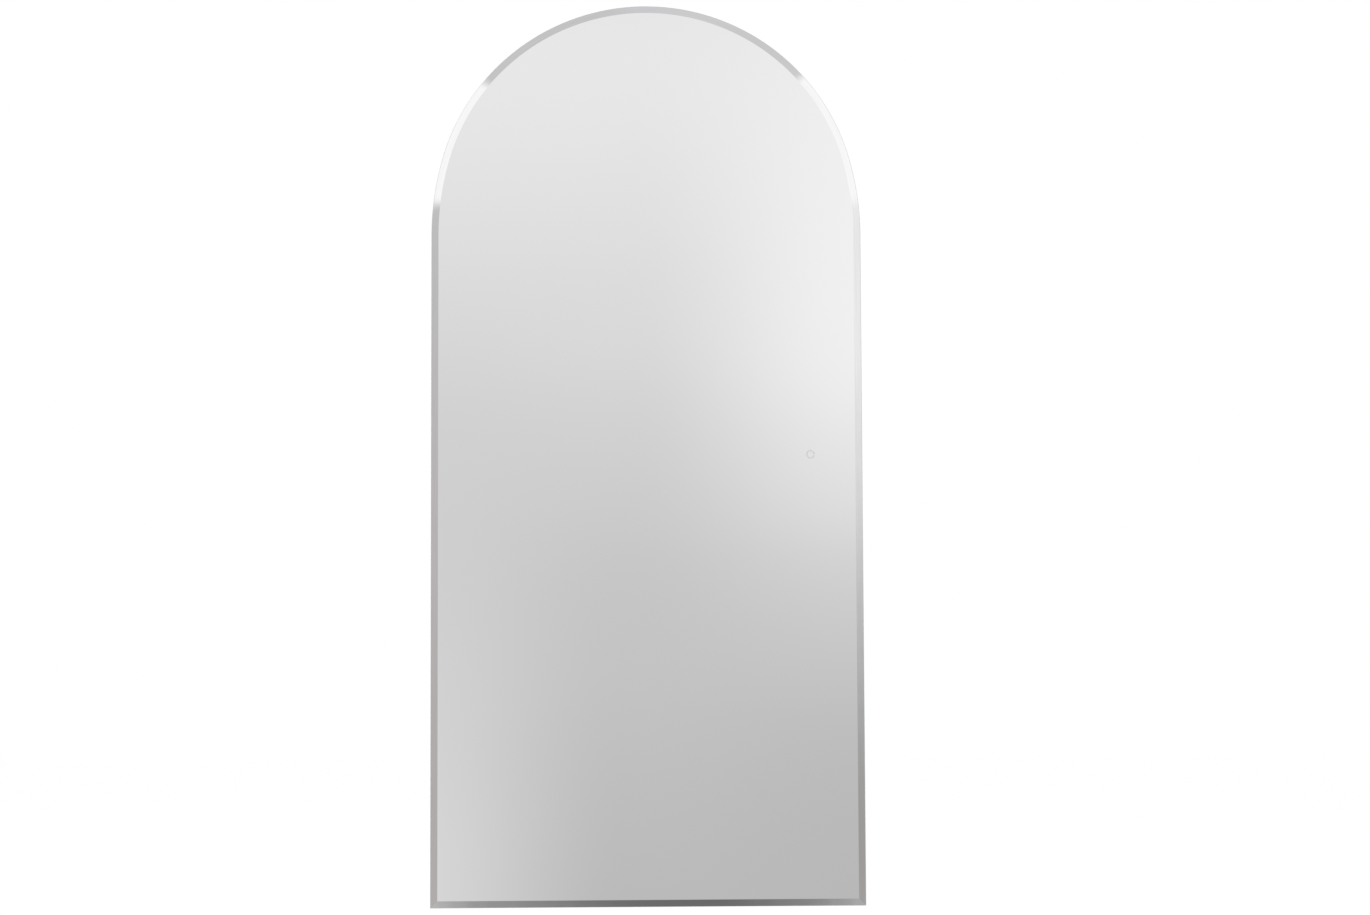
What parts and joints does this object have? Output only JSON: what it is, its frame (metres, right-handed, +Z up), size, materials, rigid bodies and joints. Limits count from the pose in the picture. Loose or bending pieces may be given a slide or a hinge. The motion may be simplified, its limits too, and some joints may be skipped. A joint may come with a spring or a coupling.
{
  "type": "arched wall mirror with back light",
  "caption": "Tall frameless wall mirror with a round-arched top, bevelled edge, touch ring and a light channel hidden behind the glass.",
  "frame": {"origin": "middle of the wall rail's line of screw holes, on the wall plane", "axes": "+X to the viewer's right, +Y into the wall, +Z up; the mirror faces -Y"},
  "size_m": [0.6, 0.036, 1.255],
  "materials": {
    "mirror": "polished, silvered behind",
    "foam": "soft foam",
    "chassis_aluminium": "satin anodised",
    "rail_aluminium": "mill finish",
    "diffuser": "opal, matt",
    "strip_film": "white coated film",
    "light_chip": "phosphor gel",
    "zinc_steel": "zinc plated",
    "screw_steel": "zinc plated",
    "rubber": "moulded rubber",
    "white_plastic": "moulded, matt",
    "nylon": "natural nylon",
    "circuit_board": "lacquered board",
    "components": "mixed parts of a driver",
    "clamp_brass": "plated brass",
    "tinned_brass": "tinned",
    "lead_sheath": "soft sheath",
    "earth_sheath": "green and yellow sheath"
  },
  "bodies": {
    "rail": {"wall_rail": "rail_aluminium"},
    "mirror": {"mirror_glass": "mirror", "mounting_tape": "foam", "gear_pads": "foam", "chassis_arch": "chassis_aluminium", "chassis_leg_left": "chassis_aluminium", "chassis_leg_right": "chassis_aluminium", "chassis_bottom": "chassis_aluminium", "diffuser_arch": "diffuser", "diffuser_leg_left": "diffuser", "diffuser_leg_right": "diffuser", "diffuser_bottom": "diffuser", "light_strip": "strip_film", "light_chips": "light_chip", "splice_plates": "zinc_steel", "corner_plates": "zinc_steel", "hanger_bar": "zinc_steel", "lower_brace": "zinc_steel", "gear_plate": "zinc_steel", "plate_screws": "screw_steel", "bar_screws": "screw_steel", "gear_screws": "screw_steel", "lid_screws": "screw_steel", "earth_screw": "screw_steel", "wall_bumpers": "rubber", "inlet_grommet": "rubber", "feed_grommet": "rubber", "driver_case": "white_plastic", "driver_lid": "white_plastic", "terminal_box": "white_plastic", "terminal_lid": "white_plastic", "sensor_case": "white_plastic", "lead_clips": "nylon", "driver_board": "circuit_board", "sensor_board": "circuit_board", "driver_components": "components", "terminal_block": "nylon", "clamp_screws": "clamp_brass", "earth_tag": "tinned_brass", "mains_lead": "lead_sheath", "light_lead": "lead_sheath", "sensor_lead": "lead_sheath", "earth_lead": "earth_sheath"}
  },
  "joints": [
    {"name": "lift_off", "type": "slide", "parent": "rail", "child": "mirror", "axis": [0, 0, 1], "range_m": [0, 0.02]}
  ]
}
